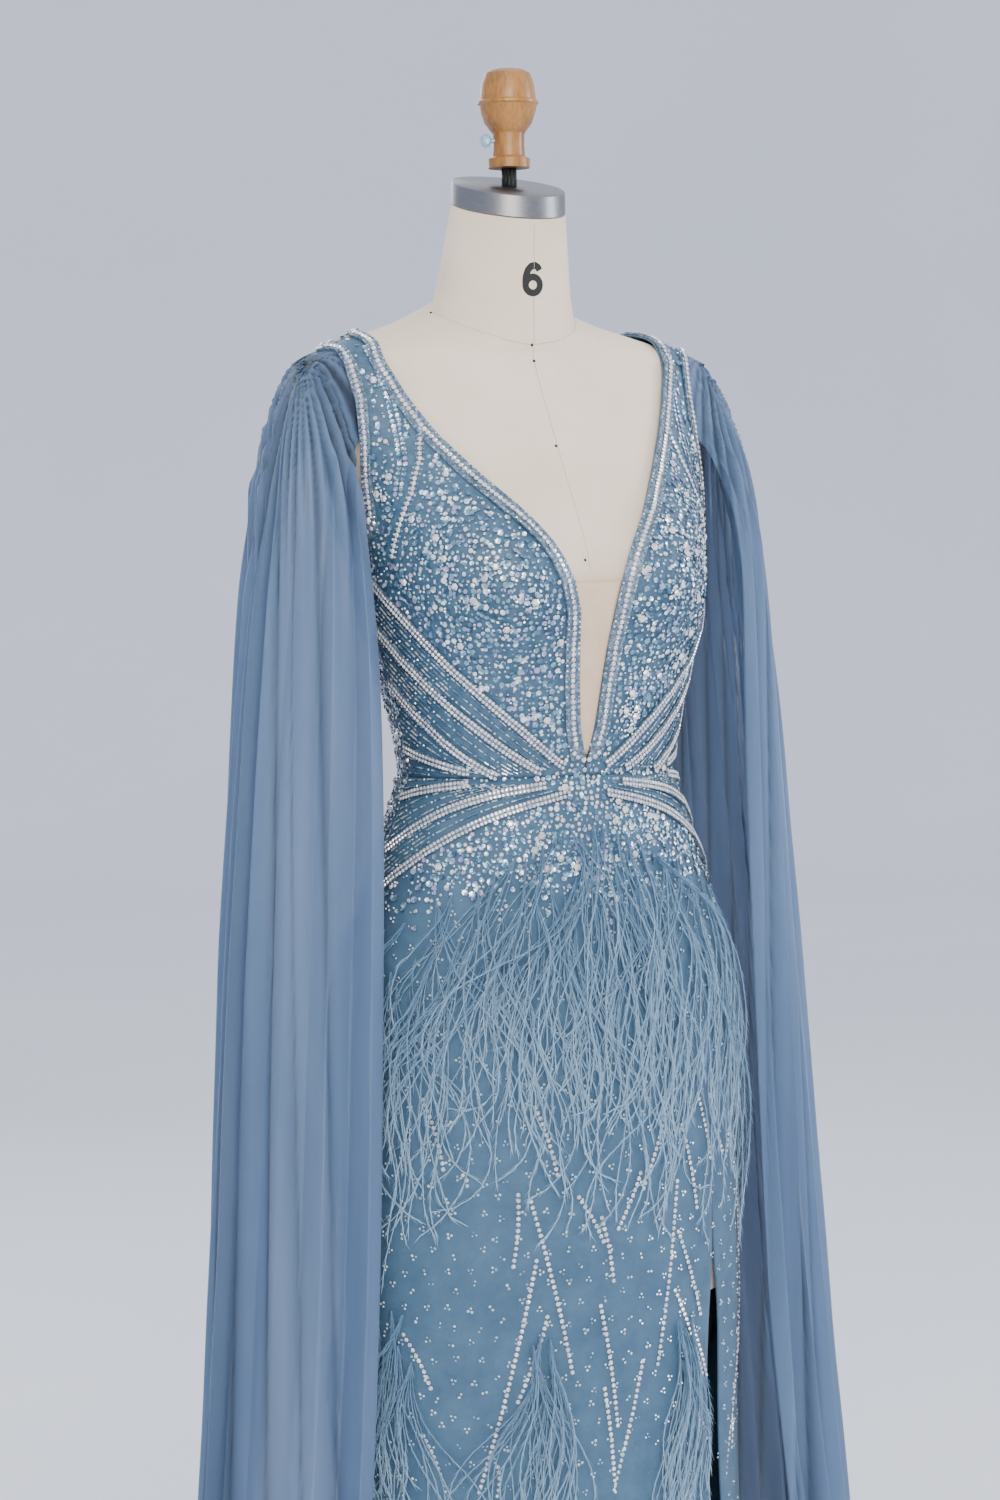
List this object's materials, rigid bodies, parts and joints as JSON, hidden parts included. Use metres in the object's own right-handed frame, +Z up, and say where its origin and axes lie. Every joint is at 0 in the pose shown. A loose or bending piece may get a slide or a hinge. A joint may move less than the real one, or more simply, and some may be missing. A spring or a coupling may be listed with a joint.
{
  "type": "mermaid evening gown with cape sleeves on a limbless dress form",
  "caption": "Dusty-blue beaded mermaid gown with a plunging V, feather trim, a thigh slit and pleated cape sleeves, on a canvas dress form with a wooden finial.",
  "frame": {"origin": "centre of the stand base's underside, on the floor", "axes": "+Z up along the stand's pole; -Y to the front of the gown; +X to the wearer's left"},
  "size_m": [0.739, 0.4719, 1.7],
  "materials": {
    "canvas": "plain-woven cotton canvas over padding",
    "block_black": "dull black cover",
    "cap_metal": "brushed rim",
    "rod_black": "satin black",
    "finial_wood": "turned and varnished light wood",
    "knob_acrylic": "clear faceted acrylic",
    "stand_metal": "satin",
    "beaded_cloth": "tulle on lining, covered in beads and sequins",
    "skirt_cloth": "matte crepe with scattered beads",
    "nude_mesh": "fine stretch mesh",
    "chiffon": "sheer pleated chiffon",
    "stone_band": "rhinestones and bugles in silver settings",
    "feather": "dyed ostrich feather strands",
    "zip_metal": "enamelled to match the cloth"
  },
  "bodies": {
    "root": {"form_torso": "canvas", "form_lower_block": "block_black", "neck_cap": "cap_metal", "finial_rod": "rod_black", "finial": "finial_wood", "finial_screw": "knob_acrylic", "stand_pole": "stand_metal", "stand_base": "stand_metal", "bodice_front_left": "beaded_cloth", "bodice_front_right": "beaded_cloth", "bodice_back_left": "beaded_cloth", "bodice_back_right": "beaded_cloth", "plunge_insert": "nude_mesh", "skirt_front": "skirt_cloth", "skirt_side_front": "skirt_cloth", "skirt_back_left": "skirt_cloth", "skirt_back_right": "skirt_cloth", "cape_left": "chiffon", "cape_right": "chiffon", "neckline_band_front_left": "stone_band", "neckline_band_front_right": "stone_band", "neckline_band_back_left": "stone_band", "neckline_band_back_right": "stone_band", "armhole_band_front_left": "stone_band", "armhole_band_front_right": "stone_band", "armhole_band_back_left": "stone_band", "armhole_band_back_right": "stone_band", "midriff_band_1_left": "stone_band", "midriff_band_1_right": "stone_band", "midriff_band_2_left": "stone_band", "midriff_band_2_right": "stone_band", "midriff_band_3_left": "stone_band", "midriff_band_3_right": "stone_band", "midriff_band_4_left": "stone_band", "midriff_band_4_right": "stone_band", "midriff_band_5_left": "stone_band", "midriff_band_5_right": "stone_band", "midriff_band_6_left": "stone_band", "midriff_band_6_right": "stone_band", "midriff_band_7_left": "stone_band", "midriff_band_7_right": "stone_band", "feathers_front": "feather", "feathers_back": "feather", "feather_bunch_right": "feather", "feather_bunch_middle": "feather", "feather_bunch_left": "feather", "feather_bunch_back_left": "feather", "feather_bunch_back_right": "feather", "zip_slider": "zip_metal"},
    "pull": {"zip_pull": "zip_metal"}
  },
  "joints": [
    {"name": "zip_pull_swing", "type": "hinge", "parent": "root", "child": "pull", "pos_m": [0, 0.12112, 1.312], "axis": [1, 0, 0], "range_deg": [0, 150]}
  ]
}
